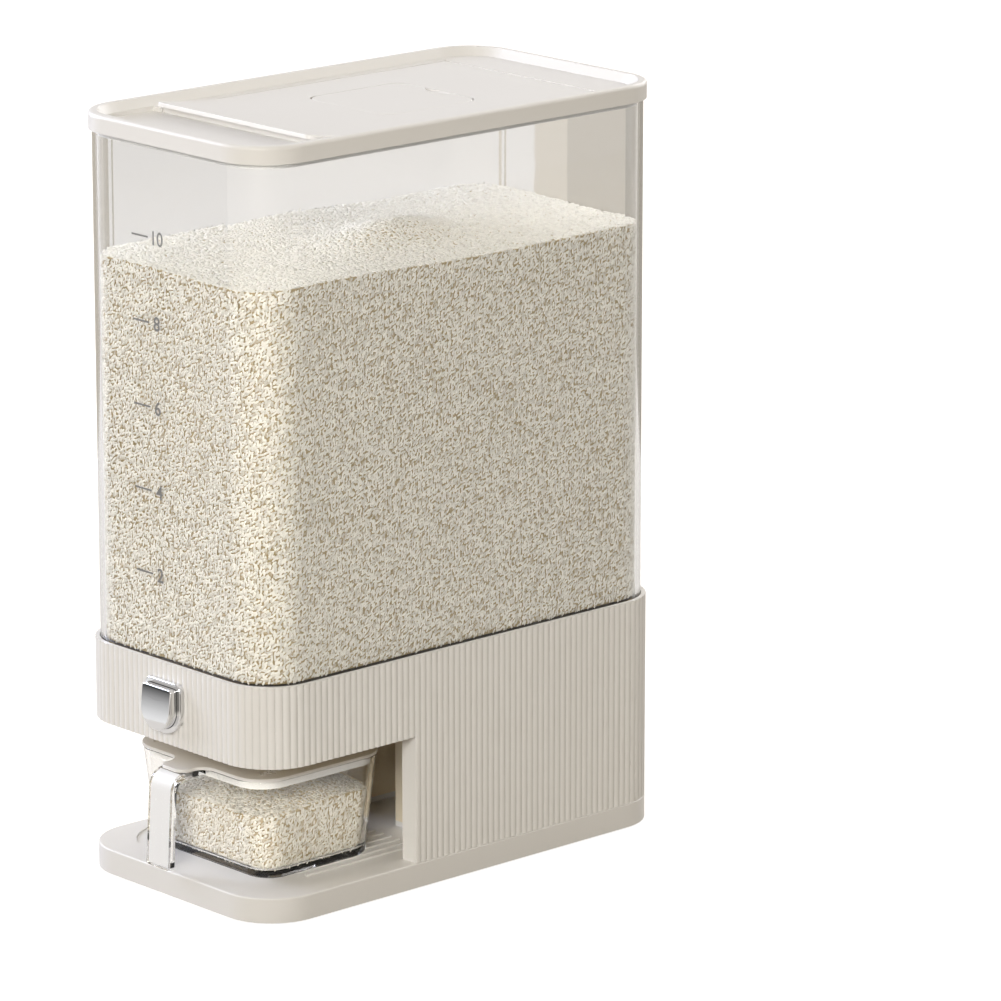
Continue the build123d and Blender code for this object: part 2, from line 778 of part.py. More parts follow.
def handle_path(depth):
    """Line parallel to the handle's outer face, a depth below it: out from the rim, round and down."""
    rim_y = cup_y - cup_rim_length / 2
    foot_z = base_top + handle_foot_height
    drop = cup_rim - foot_z
    slope = math.hypot(drop, handle_lean)
    inward = Vector(drop / slope, -handle_lean / slope)
    along = Vector(-handle_lean / slope, -drop / slope)
    knee = Vector(rim_y - handle_reach, cup_rim) + inward * depth
    rise = (cup_rim - depth - knee.Y) / along.Y
    foot = Vector(rim_y - handle_reach - handle_lean, foot_z) + inward * depth
    root = (rim_y + handle_root, cup_rim - depth)
    return FilletPolyline(root, knee + along * rise, foot, radius=handle_bend - depth)


def strip_of(path, thickness, width):
    """Flat strip of a given thickness and width along a path in Y and Z."""
    return extrude(Plane.YZ * trace(path, thickness), width / 2, both=True)


def handle_pocket(gap):
    """Shallow pocket in the outer face of the handle, which the inlay fills."""
    depth = inlay_depth + gap
    strip = strip_of(handle_path(depth / 2), depth, handle_width - 2 * inlay_border + 2 * gap)
    low = base_top + handle_foot_height + inlay_border - gap
    front = cup_y - cup_rim_length / 2 - tab_reach + gap
    return strip & box(-handle_width, handle_width, front - handle_width, front, low, strainer_top)


def measuring_cup():
    """Clear tapered cup with a hooked handle at the front."""
    outer = taper(cup_bottom_width, cup_bottom_length, cup_bottom_radius, cup_bottom,
                  cup_rim_width, cup_rim_length, cup_rim_radius, cup_rim, cup_y, cup_y)
    thick = 2 * cup_wall
    inside = taper(cup_bottom_width - thick, cup_bottom_length - thick, cup_bottom_radius - cup_wall,
                   cup_bottom + cup_floor, cup_rim_width - thick, cup_rim_length - thick,
                   cup_rim_radius - cup_wall, cup_rim, cup_y, cup_y)
    outer = fillet(outer.faces().sort_by(Axis.Z)[0].edges(), cup_foot_edge)
    inside = fillet(inside.faces().sort_by(Axis.Z)[0].edges(), cup_inner_edge)
    cup = outer - inside
    cup = fillet(cup.faces().sort_by(Axis.Z)[-1].edges(), cup_rim_edge)
    handle = strip_of(handle_path(handle_thickness / 2), handle_thickness, handle_width)
    foot = handle.faces().sort_by(Axis.Z)[0]
    low_corners = foot.edges().filter_by(Axis.X, reverse=True)
    handle = fillet(low_corners, handle_corner)
    return cup + (handle - inside) - handle_pocket(inlay_gap)


def handle_inlay():
    """White inlay in the outer face of the handle."""
    return handle_pocket(0)


def panel_outline():
    """Sunk panel of the strainer lid, waisted at both sides where the drains are."""
    half_x = cup_rim_width / 2 - panel_margin
    half_y = cup_rim_length / 2 - panel_margin
    waist = half_x - panel_waist
    edges = [
        Line((-half_x, -half_y), (half_x, -half_y)),
        ThreePointArc((half_x, -half_y), (waist, 0), (half_x, half_y)),
        Line((half_x, half_y), (-half_x, half_y)),
        ThreePointArc((-half_x, half_y), (-waist, 0), (-half_x, -half_y)),
    ]
    face = make_face(edges)
    return fillet(face.vertices(), panel_corner)


def strainer_lid():
    """Lid of the cup: tab over the handle, sunk panel and two rows of drain slots."""
    width = cup_rim_width + 2 * strainer_overhang
    length = cup_rim_length + 2 * strainer_overhang
    radius = cup_rim_radius + strainer_overhang
    tab_length = tab_reach + cup_rim_radius
    tab = Pos(0, -length / 2 - tab_reach + tab_length / 2) * Rectangle(tab_root_width, tab_length)
    outline = RectangleRounded(width, length, radius) + tab
    tips = outline.vertices().sort_by(Axis.Y)[:2]
    outline = fillet(tips, tab_corner)
    roots = outline.vertices().filter_by(
        lambda v: abs(abs(v.X) - tab_root_width / 2) < strainer_overhang
        and abs(v.Y + length / 2) < strainer_overhang)
    outline = fillet(roots, tab_blend)
    lid = Pos(0, cup_y, strainer_bottom) * extrude(outline, strainer_thickness)
    lid = fillet(lid.faces().sort_by(Axis.Z)[-1].edges(), strainer_edge)
    lid -= Pos(0, cup_y, strainer_top - panel_depth) * extrude(panel_outline(), panel_depth + cut_overrun)
    inset = 2 * (cup_wall + strainer_plug_gap)
    plug_radius = cup_rim_radius - cup_wall - strainer_plug_gap
    low = strainer_bottom - strainer_plug_depth
    plug = slab(cup_rim_width - inset, cup_rim_length - inset, plug_radius, low, strainer_bottom, cup_y)
    thin = inset + 2 * strainer_plug_wall
    plug -= slab(cup_rim_width - thin, cup_rim_length - thin, plug_radius - strainer_plug_wall,
                 low - cut_overrun, strainer_bottom, cup_y)
    lid += plug
    outer_x = cup_rim_width / 2 - inset / 2 - strainer_plug_wall - drain_edge
    for index in range(drain_count):
        share = (index + 1 / 2) / drain_count
        y = cup_y + drain_pitch * (index + 1 / 2 - drain_count / 2)
        reach = drain_short + (drain_long - drain_short) * math.sin(math.pi * share)
        for side in (-1, 1):
            ends = sorted((side * (outer_x - reach), side * outer_x))
            lid -= box(*ends, y - drain_width / 2, y + drain_width / 2, strainer_bottom - cut_overrun,
                       strainer_top + cut_overrun)
    return lid


pieces = {
    "base_tray": base_tray,
    "base_plate": base_plate,
    "rubber_pads": rubber_pads,
    "base_screws": base_screws,
    "inner_frame": inner_frame,
    "bay_liner": bay_liner,
    "fluted_shell": fluted_shell,
    "funnel": funnel,
    "funnel_seal": funnel_seal,
    "hopper": hopper,
    "shutter": shutter,
    "return_spring": return_spring,
    "push_button": push_button,
    "button_screw": button_screw,
    "button_bezel": button_bezel,
    "lid_frame": lid_frame,
    "lid_seal": lid_seal,
    "hinge_pins": hinge_pins,
    "lid_flap": lid_flap,
    "flap_seal": flap_seal,
    "desiccant_basket": desiccant_basket,
    "desiccant_cover": desiccant_cover,
    "measuring_cup": measuring_cup,
    "handle_inlay": handle_inlay,
    "strainer_lid": strainer_lid,
}

os.makedirs("parts", exist_ok=True)
for name, make in pieces.items():
    made = make()
    solids = made if isinstance(made, list) else made.solids()
    shape = Compound(children=list(solids)) if len(solids) > 1 else solids[0]
    export_step(shape, f"parts/{name}.step")
    print(name, len(solids), round(sum(solid.volume for solid in solids)))
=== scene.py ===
# %% [markdown]
# # Dressing a countertop rice dispenser
#
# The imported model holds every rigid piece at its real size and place. This lesson adds what solids alone
# cannot show: the finish of each surface, the printed scale on the clear wall, the rice inside, the
# spring's wire, and a plain studio. All lengths are metres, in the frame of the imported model.

# %% Load the frame
import math

import bpy
import numpy as np
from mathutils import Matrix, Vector


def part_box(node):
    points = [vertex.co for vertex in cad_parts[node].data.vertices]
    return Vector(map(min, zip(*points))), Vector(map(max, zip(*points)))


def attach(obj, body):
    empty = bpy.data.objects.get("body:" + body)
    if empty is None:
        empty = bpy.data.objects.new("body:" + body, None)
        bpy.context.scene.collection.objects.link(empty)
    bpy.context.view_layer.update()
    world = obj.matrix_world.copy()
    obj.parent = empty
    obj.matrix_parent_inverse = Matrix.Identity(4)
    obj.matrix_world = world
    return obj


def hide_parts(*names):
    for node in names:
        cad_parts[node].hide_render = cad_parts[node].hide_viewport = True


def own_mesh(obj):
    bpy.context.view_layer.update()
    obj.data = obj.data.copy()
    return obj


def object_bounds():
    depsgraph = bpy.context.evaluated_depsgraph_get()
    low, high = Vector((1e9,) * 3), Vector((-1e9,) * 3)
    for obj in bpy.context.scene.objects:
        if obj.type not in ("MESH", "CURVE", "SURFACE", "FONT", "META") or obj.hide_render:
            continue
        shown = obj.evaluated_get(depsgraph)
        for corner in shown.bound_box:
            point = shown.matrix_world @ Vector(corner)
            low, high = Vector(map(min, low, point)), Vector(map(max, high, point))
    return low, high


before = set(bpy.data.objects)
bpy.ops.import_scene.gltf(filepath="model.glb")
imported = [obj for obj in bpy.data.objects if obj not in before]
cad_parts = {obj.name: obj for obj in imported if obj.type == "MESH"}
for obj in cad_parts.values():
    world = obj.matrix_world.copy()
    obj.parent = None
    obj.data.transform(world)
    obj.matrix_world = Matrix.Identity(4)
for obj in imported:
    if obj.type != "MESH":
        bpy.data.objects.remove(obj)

cad_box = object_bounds()
scene = bpy.context.scene

# %% [markdown]
# ## Camera
#
# The picture was taken with a long lens from the front right, a little above. A camera could be placed by
# eye, but its angle shows in every edge, so it is worked out from an aim point, two angles, a distance
# and a focal length. The aim lies beside the object, because the object stands left of the picture's
# middle.

# %% Camera
azimuth = math.radians(47.49)
elevation = math.radians(14.78)
camera_distance = 3.465
aim_right = 0.0745
aim_height = 0.2084
lens_mm = 212.8
sensor_mm = 36.0

camera_back = Vector((
    math.sin(azimuth) * math.cos(elevation),
    -math.cos(azimuth) * math.cos(elevation),
    math.sin(elevation),
))
camera_right = Vector((math.cos(azimuth), math.sin(azimuth), 0))
aim = camera_right * aim_right + Vector((0, 0, aim_height))
camera = bpy.data.objects.new("camera", bpy.data.cameras.new("camera"))
camera.data.lens = lens_mm
camera.data.sensor_width = sensor_mm
camera.location = aim + camera_back * camera_distance
camera.rotation_mode = "QUATERNION"
camera.rotation_quaternion = (-camera_back).to_track_quat("-Z", "Y")
scene.collection.objects.link(camera)
scene.camera = camera
scene.view_settings.view_transform = "Standard"
print("camera at", [round(c, 3) for c in camera.location])

# %% [markdown]
# ## Meshes from arrays
#
# A new piece is a set of points worked out with numpy, and triangles that join them. Passing whole arrays
# to the mesh is much faster than adding vertices one by one, which matters for thousands of rice grains.


# %% Mesh helpers
def mesh_piece(name, points, triangles, smooth=True):
    """Object made of an array of points and an array of triangles."""
    mesh = bpy.data.meshes.new(name)
    mesh.vertices.add(len(points))
    mesh.vertices.foreach_set("co", np.ascontiguousarray(points, np.float32).ravel())
    mesh.loops.add(triangles.size)
    mesh.loops.foreach_set("vertex_index", np.ascontiguousarray(triangles, np.int32).ravel())
    mesh.polygons.add(len(triangles))
    mesh.polygons.foreach_set("loop_start", np.arange(0, triangles.size, 3, dtype=np.int32))
    mesh.polygons.foreach_set("use_smooth", np.full(len(triangles), smooth))
    mesh.update(calc_edges=True)
    mesh.validate()
    piece = bpy.data.objects.new(name, mesh)
    scene.collection.objects.link(piece)
    return piece


def grid_triangles(rows, columns, closed):
    """Two triangles for each cell of a grid of points; a closed grid joins its last column to its first."""
    row, column = np.meshgrid(np.arange(rows - 1), np.arange(columns - (not closed)), indexing="ij")
    following = (column + 1) % columns
    a = row * columns + column
    b = row * columns + following
    c = a + columns
    d = b + columns
    return np.concatenate([
        np.stack([a, b, d], -1).reshape(-1, 3),
        np.stack([a, d, c], -1).reshape(-1, 3),
    ])


def rounded_track(share, width, length, radius):
    """Point and outward direction at a share of the way round a rounded rectangle.

    The walk starts at the left end of the front side and goes counter-clockwise. Along a side the point
    moves straight on; in a corner it keeps its distance from the corner's centre while its heading turns.
    """
    share, width, length, radius = np.broadcast_arrays(share, width, length, radius)
    run_x = width / 2 - radius
    run_y = length / 2 - radius
    quarter = radius * math.pi / 2
    parts = np.stack([2 * run_x, quarter, 2 * run_y, quarter] * 2, -1)
    ends = np.cumsum(parts, -1)
    walked = share % 1 * ends[..., -1]
    index = np.minimum((walked[..., None] >= ends).sum(-1), 7)
    inside = walked - np.take_along_axis(ends - parts, index[..., None], -1)[..., 0]
    side, corner = index // 2, index % 2
    heading = side * math.pi / 2 + np.where(corner, inside / radius, 0)
    along = np.stack([np.cos(heading), np.sin(heading)], -1)
    outward = np.stack([np.sin(heading), -np.cos(heading)], -1)
    centre = (side + corner) % 4
    centre_x = np.where((centre == 1) | (centre == 2), run_x, -run_x)
    centre_y = np.where(centre >= 2, run_y, -run_y)
    point = np.stack([centre_x, centre_y], -1) + outward * radius[..., None]
    point = point + along * np.where(corner, 0, inside)[..., None]
    return point, outward


print("mesh helpers ready")

# %% [markdown]
# ## Studio
#
# The product stands on a white floor in a white room. A floor lit until it is white would throw too much
# light back at the object, so the white is a glow of the floor and the world that only rays from the eye,
# a mirror or a clear wall meet. Mirrors and clear walls meet less of it, which keeps plated parts and the
# empty hopper from going white. For all other rays the floor is a grey that takes the object's soft
# shadow, and the world is a dim, warm light that keeps the shaded side creamy.

# %% Floor and world
floor_reach = 14.0
floor_colour = (0.39, 0.365, 0.325, 1)
floor_glow = 0.87
mirrored_share = 0.46
through_share = 0.72
ambient_colour = (1.0, 0.885, 0.72, 1)
ambient_strength = 0.33


def looks_on_ray(tree):
    """Socket that is 1 for rays from the eye, a share for those from mirrors or clear walls, and else 0."""
    path = tree.nodes.new("ShaderNodeLightPath")
    seen = path.outputs["Is Camera Ray"]
    for kind, share in (("Is Glossy Ray", mirrored_share), ("Is Transmission Ray", through_share)):
        dimmed = tree.nodes.new("ShaderNodeMath")
        dimmed.operation = "MULTIPLY"
        tree.links.new(path.outputs[kind], dimmed.inputs[0])
        dimmed.inputs[1].default_value = share
        most = tree.nodes.new("ShaderNodeMath")
        most.operation = "MAXIMUM"
        tree.links.new(seen, most.inputs[0])
        tree.links.new(dimmed.outputs[0], most.inputs[1])
        seen = most.outputs[0]
    return seen


def white_floor():
    """Pale matt floor that glows a little where it is looked at, so that it reads as white."""
    material = bpy.data.materials.new("white_floor")
    material.use_nodes = True
    tree = material.node_tree
    tree.nodes.clear()
    matt = tree.nodes.new("ShaderNodeBsdfDiffuse")
    matt.inputs["Color"].default_value = floor_colour
    glow = tree.nodes.new("ShaderNodeEmission")
    scaled = tree.nodes.new("ShaderNodeMath")
    scaled.operation = "MULTIPLY"
    scaled.inputs[1].default_value = floor_glow
    tree.links.new(looks_on_ray(tree), scaled.inputs[0])
    tree.links.new(scaled.outputs[0], glow.inputs["Strength"])
    both = tree.nodes.new("ShaderNodeAddShader")
    tree.links.new(matt.outputs[0], both.inputs[0])
    tree.links.new(glow.outputs[0], both.inputs[1])
    out = tree.nodes.new("ShaderNodeOutputMaterial")
    tree.links.new(both.outputs[0], out.inputs["Surface"])
    return material


def studio_world():
    """World that is white to look at, and a dimmer, warmer light to everything else."""
    world = bpy.data.worlds.new("studio")
    scene.world = world
    world.use_nodes = True
    tree = world.node_tree
    tree.nodes.clear()
    ambient = tree.nodes.new("ShaderNodeBackground")
    ambient.inputs["Color"].default_value = ambient_colour
    ambient.inputs["Strength"].default_value = ambient_strength
    white = tree.nodes.new("ShaderNodeBackground")
    choose = tree.nodes.new("ShaderNodeMixShader")
    tree.links.new(looks_on_ray(tree), choose.inputs["Fac"])
    tree.links.new(ambient.outputs[0], choose.inputs[1])
    white.inputs["Color"].default_value = (1, 1, 1, 1)
    tree.links.new(white.outputs[0], choose.inputs[2])
    out = tree.nodes.new("ShaderNodeOutputWorld")
    tree.links.new(choose.outputs[0], out.inputs["Surface"])


floor_points = np.array([[-1, -1, 0], [1, -1, 0], [1, 1, 0], [-1, 1, 0]]) * floor_reach
floor = mesh_piece("floor", floor_points, np.array([[0, 1, 2], [0, 2, 3]]), smooth=False)
floor.data.materials.append(white_floor())
studio_world()
print("floor and world ready")

# %% [markdown]
# Four soft lamps light the object, each a square panel turned to its middle, as a softbox on a stand
# would be. Small lamps would give every shadow a hard edge. The key at the front right rakes over the
# reeds, the left and the back one reach the rice through the clear walls, and a weak one hangs above the
# lid. The left one is a little blue, which sets the front apart from the creamy right side.

# %% Lamps
object_middle = Vector((0, 0, cad_box[1].z / 2))
lamps = {
    "key": {"place": (1.5, -2.25, 1.3), "size": 0.9, "watts": 49, "colour": (1.0, 0.985, 0.95)},
    "left": {"place": (-2.35, -0.85, 1.2), "size": 1.4, "watts": 54, "colour": (0.92, 0.99, 1.22)},
    "back": {"place": (-0.3, 2.4, 1.3), "size": 2.2, "watts": 54, "colour": (0.98, 0.98, 1.0)},
    "top": {"place": (-0.2, 0.2, 2.6), "size": 1.6, "watts": 7, "colour": (0.97, 0.99, 1.05)},
}


def soft_lamp(name, place, size, watts, colour):
    """Square area lamp that faces the middle of the object."""
    lamp = bpy.data.objects.new(name, bpy.data.lights.new(name, "AREA"))
    lamp.data.size = size
    lamp.data.energy = watts
    lamp.data.color = colour
    lamp.location = place
    lamp.rotation_mode = "QUATERNION"
    lamp.rotation_quaternion = (object_middle - lamp.location).to_track_quat("-Z", "Y")
    scene.collection.objects.link(lamp)


for lamp_name, values in lamps.items():
    soft_lamp(lamp_name, **values)
print("lamps:", list(lamps))

# %% [markdown]
# Plated and clear parts show only what stands around them, and in an all-white room they would look
# white. As in a real studio, cards stand where such parts show them. One leans to the front left and
# darkens upwards, which shades the button's face, one towards the camera draws thin dark lines along its
# edges, and one lies on the floor at the front right, which dims and warms the floor that glossy sides
# mirror.
#
# Upright cards behind the object are seen through the hopper. The outer two give its walls their grey
# edges, and two paler panes reach further in on the right, where the hopper shows soft planes of tan. All
# cards glow by themselves. They light no matt part, throw no shadow and are hidden from the camera
# itself.

# %% Cards
fade_share = 0.3
towards_camera = (0.737, -0.676)
away = (-0.737, 0.676)
mirrored_by_front = (-0.737, -0.676)


def dark_card(name, foot, facing, width, run, top, pale, deep=0.03, tint=(1, 1, 1), through=False):
    """Leaning card: starts at its foot, rises evenly to its top over a run, and darkens with height.

    It glows instead of taking light: the strength falls from a pale value at the foot to a deep one at a
    share of the height. Mirrors see it, and clear walls too if it is to be seen through them.
    """
    ahead = np.array(facing) / np.hypot(*facing)
    beside = np.array([-ahead[1], ahead[0]]) * width / 2
    near, far = np.array(foot), np.array(foot) + ahead * run
    points = [(*(near - beside), 0), (*(near + beside), 0), (*(far + beside), top), (*(far - beside), top)]
    card = mesh_piece(name, np.array(points), np.array([[0, 1, 2], [0, 2, 3]]), smooth=False)
    material = bpy.data.materials.new(name)
    material.use_nodes = True
    tree = material.node_tree
    tree.nodes.clear()
    place = tree.nodes.new("ShaderNodeTexCoord")
    parts = tree.nodes.new("ShaderNodeSeparateXYZ")
    fall = tree.nodes.new("ShaderNodeMapRange")
    fall.inputs["From Max"].default_value = fade_share * top
    fall.inputs["To Min"].default_value = pale
    fall.inputs["To Max"].default_value = deep
    glow = tree.nodes.new("ShaderNodeEmission")
    glow.inputs["Color"].default_value = (*tint, 1)
    out = tree.nodes.new("ShaderNodeOutputMaterial")
    tree.links.new(place.outputs["Object"], parts.inputs["Vector"])
    tree.links.new(parts.outputs["Z"], fall.inputs["Value"])
    tree.links.new(fall.outputs["Result"], glow.inputs["Strength"])
    tree.links.new(glow.outputs["Emission"], out.inputs["Surface"])
    card.data.materials.append(material)
    card.visible_camera = card.visible_diffuse = card.visible_shadow = False
    card.visible_transmission = through


dark_card("button_card", foot=(-0.295, -0.436), facing=mirrored_by_front, width=0.34, run=0.65, top=0.25,
          pale=1.05)
dark_card("camera_card", foot=(2.0, -1.9), facing=towards_camera, width=1.0, run=0.1, top=1.6, pale=0.03)
dark_card("floor_card", foot=(0.12, -0.27), facing=(0.8, -0.6), width=0.7, run=0.7, top=0.004,
          pale=1.0, deep=0.28, tint=(1.0, 0.95, 0.86))
behind_cards = {
    "right_card": {"sideways": 0.62, "behind": 0.90, "glow": 0.5},
    "right_pane": {"sideways": 0.544, "behind": 0.96, "glow": 0.72},
    "pale_pane": {"sideways": 0.52, "behind": 0.99, "glow": 0.9},
    "left_card": {"sideways": -0.67, "behind": 0.90, "glow": 0.68},
}
for card_name, card in behind_cards.items():
    card_foot = camera_right.xy * card["sideways"] + Vector(away) * card["behind"]
    dark_card(card_name, card_foot, away, width=0.84, run=0.05, top=0.6,
              pale=card["glow"], deep=card["glow"], tint=(1.0, 0.92, 0.80), through=True)
print("cards behind the object:", list(behind_cards))

# %% [markdown]
# ## Finishes
#
# Moulded plastic is never one flat colour: the melt leaves faint clouds of tone, and the tool's texture
# breaks up the gloss. Both effects are shared by most materials here, so they sit in one node group with
# its own inputs. The group gives out only a colour, a roughness and a height, and each material keeps its
# own shader.


# %% Moulded grain group
def moulded_grain():
    """Group: soft clouds mix two tints, fine grain varies the roughness and gives a height."""
    group = bpy.data.node_groups.new("moulded_grain", "ShaderNodeTree")
    for name, kind, value in (
        ("Pale", "NodeSocketColor", (1, 1, 1, 1)),
        ("Deep", "NodeSocketColor", (0.9, 0.9, 0.9, 1)),
        ("Cloud Scale", "NodeSocketFloat", 14.0),
        ("Grain Scale", "NodeSocketFloat", 900.0),
        ("Smooth", "NodeSocketFloat", 0.35),
        ("Rough", "NodeSocketFloat", 0.45),
    ):
        group.interface.new_socket(name, in_out="INPUT", socket_type=kind).default_value = value
    group.interface.new_socket("Colour", in_out="OUTPUT", socket_type="NodeSocketColor")
    group.interface.new_socket("Roughness", in_out="OUTPUT", socket_type="NodeSocketFloat")
    group.interface.new_socket("Height", in_out="OUTPUT", socket_type="NodeSocketFloat")
    link = group.links.new
    start = group.nodes.new("NodeGroupInput")
    end = group.nodes.new("NodeGroupOutput")
    place = group.nodes.new("ShaderNodeTexCoord")
    clouds = group.nodes.new("ShaderNodeTexNoise")
    grain = group.nodes.new("ShaderNodeTexNoise")
    link(place.outputs["Object"], clouds.inputs["Vector"])
    link(place.outputs["Object"], grain.inputs["Vector"])
    link(start.outputs["Cloud Scale"], clouds.inputs["Scale"])
    link(start.outputs["Grain Scale"], grain.inputs["Scale"])
    tint = group.nodes.new("ShaderNodeMix")
    tint.data_type = "RGBA"
    link(clouds.outputs["Fac"], tint.inputs["Factor"])
    link(start.outputs["Pale"], tint.inputs["A"])
    link(start.outputs["Deep"], tint.inputs["B"])
    rough = group.nodes.new("ShaderNodeMapRange")
    link(grain.outputs["Fac"], rough.inputs["Value"])
    link(start.outputs["Smooth"], rough.inputs["To Min"])
    link(start.outputs["Rough"], rough.inputs["To Max"])
    link(tint.outputs["Result"], end.inputs["Colour"])
    link(rough.outputs["Result"], end.inputs["Roughness"])
    link(grain.outputs["Fac"], end.inputs["Height"])
    return group


grain_group = moulded_grain()


def grained_material(name, pale, deep, smooth, rough, cloud_scale=14.0, grain_scale=900.0, relief=0.00002):
    """Principled material with the grain group on its colour, roughness and bump."""
    material = bpy.data.materials.new(name)
    material.use_nodes = True
    tree = material.node_tree
    shader = tree.nodes["Principled BSDF"]
    grain = tree.nodes.new("ShaderNodeGroup")
    grain.node_tree = grain_group
    grain.inputs["Pale"].default_value = (*pale, 1)
    grain.inputs["Deep"].default_value = (*deep, 1)
    grain.inputs["Cloud Scale"].default_value = cloud_scale
    grain.inputs["Grain Scale"].default_value = grain_scale
    grain.inputs["Smooth"].default_value = smooth
    grain.inputs["Rough"].default_value = rough
    bump = tree.nodes.new("ShaderNodeBump")
    bump.inputs["Distance"].default_value = relief
    tree.links.new(grain.outputs["Colour"], shader.inputs["Base Color"])
    tree.links.new(grain.outputs["Roughness"], shader.inputs["Roughness"])
    tree.links.new(grain.outputs["Height"], bump.inputs["Height"])
    tree.links.new(bump.outputs["Normal"], shader.inputs["Normal"])
    return material, shader


print("group outputs:", [s.name for s in grain_group.interface.items_tree if s.in_out == "OUTPUT"])

# %% [markdown]
# The housing, lid and base are one warm off-white plastic with a satin surface. The hopper and the cup
# are clear plastic: glass-like, but with the lower bending of light that such plastic has. It takes up a
# little light on the way through, so the walls stay clear face on and turn grey at the edges, where the
# way is long. The cup's plastic takes up less, or the long way through its thick floor would look black.
# Lamps would throw hard, noisy caustics through it, so rays on their way to a lamp go straight through
# instead.

# %% Off-white and clear plastic
satin_smooth = 0.32
satin_rough = 0.42
satin_gloss = 0.42
plastic_ior = 1.49
lamp_tint = (0.985, 0.982, 0.975, 1)


def clear_plastic(name, tint, deep_tint, mass_colour, density):
    """Clear moulded wall: it refracts and absorbs, and is plain see-through for rays that go to a lamp."""
    material, shader = grained_material(
        name, tint, deep_tint, smooth=0.0, rough=0.03, cloud_scale=9.0, grain_scale=30.0)
    shader.inputs["Transmission Weight"].default_value = 1.0
    shader.inputs["IOR"].default_value = plastic_ior
    tree = material.node_tree
    path = tree.nodes.new("ShaderNodeLightPath")
    through = tree.nodes.new("ShaderNodeBsdfTransparent")
    through.inputs["Color"].default_value = lamp_tint
    choose = tree.nodes.new("ShaderNodeMixShader")
    tree.links.new(path.outputs["Is Shadow Ray"], choose.inputs["Fac"])
    tree.links.new(shader.outputs["BSDF"], choose.inputs[1])
    tree.links.new(through.outputs["BSDF"], choose.inputs[2])
    tree.links.new(choose.outputs["Shader"], tree.nodes["Material Output"].inputs["Surface"])
    mass = tree.nodes.new("ShaderNodeVolumeAbsorption")
    mass.inputs["Color"].default_value = (*mass_colour, 1)
    mass.inputs["Density"].default_value = density
    tree.links.new(mass.outputs["Volume"], tree.nodes["Material Output"].inputs["Volume"])
    return material


off_white, satin_shader = grained_material(
    "off_white_plastic", (0.78, 0.765, 0.738), (0.76, 0.742, 0.71), satin_smooth, satin_rough)
satin_shader.inputs["Specular IOR Level"].default_value = satin_gloss
# The bay's lining is the same off-white plastic; its tan is painted warm shade for the deep, dim bay.
lining_painted_shade, _ = grained_material("bay_lining_painted_shade", (0.88, 0.77, 0.58), (0.84, 0.73, 0.54), 0.45, 0.55)
hidden_white, _ = grained_material("inner_plastic", (0.80, 0.78, 0.74), (0.77, 0.75, 0.70), 0.45, 0.55)
clear_wall = clear_plastic("clear_plastic", (0.99, 0.99, 0.99), (0.98, 0.98, 0.98), (0.5, 0.5, 0.49), 74.0)
clear_cup = clear_plastic("cup_plastic", (0.97, 0.965, 0.955), (0.96, 0.955, 0.94), (0.5, 0.47, 0.40), 9.0)
inlay_white, _ = grained_material("white_inlay", (0.85, 0.85, 0.84), (0.83, 0.83, 0.82), 0.22, 0.30)
print("plastics ready")

# %% [markdown]
# Reeds show by the thin shade between them. Soft light from all sides fills the hollows, so a plain
# finish leaves the reeds faint, and a painted stripe for each would have to follow their pitch. Instead
# the shell has the same plastic, a touch paler, with shade painted into its colour where its own surface
# closes in within a short reach. The ambient occlusion node works that out on the shell alone.

# %% Reeded plastic
# Painted shade: the shell's colour falls to the hollow share wherever its own surface closes in.
hollow_reach = 0.0016
hollow_samples = 6
closed_in, open_out = 0.45, 0.95
painted_hollow_shade = 0.62


def reeded_plastic(tint, deep_tint):
    """Off-white plastic on the reeds, with shade painted into its colour where the surface is hollow."""
    material, shader = grained_material("reeded_plastic", tint, deep_tint, satin_smooth, satin_rough)
    tree = material.node_tree
    hollow = tree.nodes.new("ShaderNodeAmbientOcclusion")
    hollow.only_local = True
    hollow.samples = hollow_samples
    hollow.inputs["Distance"].default_value = hollow_reach
    depth = tree.nodes.new("ShaderNodeMapRange")
    depth.inputs["From Min"].default_value = closed_in
    depth.inputs["From Max"].default_value = open_out
    depth.inputs["To Min"].default_value = painted_hollow_shade
    shade = tree.nodes.new("ShaderNodeMix")
    shade.data_type = "RGBA"
    shade.blend_type = "MULTIPLY"
    shade.inputs["Factor"].default_value = 1.0
    colour = shader.inputs["Base Color"].links[0].from_socket
    tree.links.new(hollow.outputs["AO"], depth.inputs["Value"])
    tree.links.new(colour, shade.inputs["A"])
    tree.links.new(depth.outputs["Result"], shade.inputs["B"])
    tree.links.new(shade.outputs["Result"], shader.inputs["Base Color"])
    shader.inputs["Specular IOR Level"].default_value = satin_gloss
    return material


reeded = reeded_plastic((0.80, 0.785, 0.758), (0.78, 0.762, 0.73))
print("reeded plastic ready")

# %% [markdown]
# The button and its bezel are plated: a metal with a mirror-like surface and hardly any grain. Springs,
# pins and screws are plain steel, which is duller. Seals and pads are soft and matt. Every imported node
# then gets its finish from one table, so that none is forgotten.


# %% Metal, rubber and the table of finishes
def metal(name, colour, shade, smooth, rough, grain_scale):
    """Plated or plain metal."""
    material, shader = grained_material(
        name, colour, shade, smooth, rough, cloud_scale=40.0, grain_scale=grain_scale, relief=0.000002)
    shader.inputs["Metallic"].default_value = 1.0
    return material


chrome = metal("chrome_plate", (0.80, 0.80, 0.80), (0.76, 0.76, 0.77), 0.04, 0.09, 300.0)
steel = metal("steel_fastener", (0.58, 0.57, 0.55), (0.50, 0.49, 0.48), 0.25, 0.38, 1200.0)
silicone, _ = grained_material("silicone_seal", (0.78, 0.77, 0.74), (0.74, 0.73, 0.70), 0.55, 0.68)
rubber, _ = grained_material("rubber_pad", (0.20, 0.195, 0.19), (0.16, 0.155, 0.15), 0.7, 0.85)

